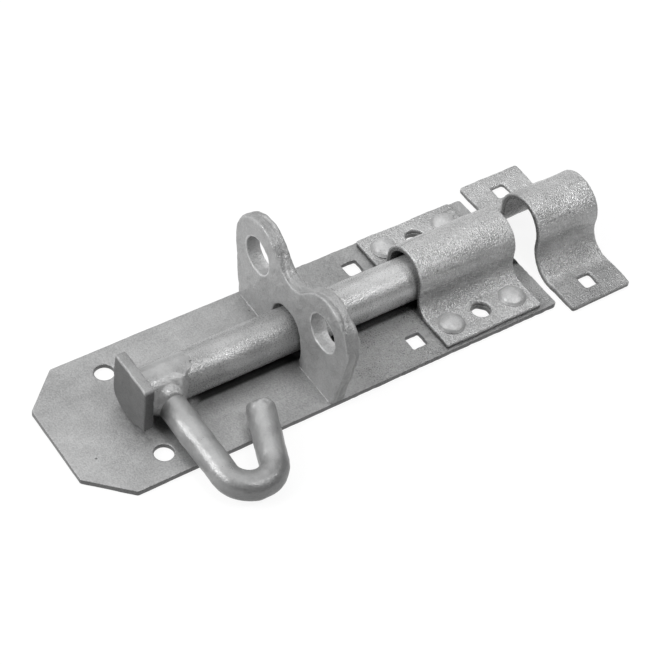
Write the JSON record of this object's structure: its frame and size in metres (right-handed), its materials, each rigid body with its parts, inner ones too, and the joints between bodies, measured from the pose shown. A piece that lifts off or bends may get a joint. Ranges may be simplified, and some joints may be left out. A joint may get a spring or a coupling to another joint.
{
  "type": "padbolt",
  "caption": "Galvanised padbolt: a round bolt with a hooked handle slides in a guide strap on a clipped backplate, past an eared padlock staple, into a separate arched keep.",
  "frame": {"origin": "centre of the backplate's back face, which lies on the door", "axes": "+X along the bolt's throw towards the keep, +Y across the plate away from the handle, +Z out from the door"},
  "size_m": [0.2327, 0.0955, 0.0467],
  "materials": {
    "galvanised_sheet": "hot-dip galvanised sheet, dull grey with fine mottling",
    "galvanised_plate": "hot-dip galvanised plate, matt, with rounded zinc edges",
    "galvanised_strap": "hot-dip galvanised strap, rough with fine sparkle",
    "galvanised_rivet": "hot-dip galvanised rivet heads",
    "galvanised_bar": "hot-dip galvanised round bar, smooth with a soft shine"
  },
  "bodies": {
    "frame": {"backplate": "galvanised_sheet", "staple": "galvanised_plate", "guide_strap": "galvanised_strap", "rivets": "galvanised_rivet", "keep": "galvanised_strap"},
    "bolt": {"bolt_rod": "galvanised_bar"},
    "handle": {"handle": "galvanised_bar", "stop_plate": "galvanised_plate"}
  },
  "joints": [
    {"name": "bolt_slide", "type": "slide", "parent": "frame", "child": "bolt", "axis": [1, 0, 0], "range_m": [-0.025, 0.02]},
    {"name": "handle_turn", "type": "hinge", "parent": "bolt", "child": "handle", "pos_m": [-0.0571, 0, 0.0115], "axis": [-1, 0, 0], "range_deg": [0, 93]}
  ]
}
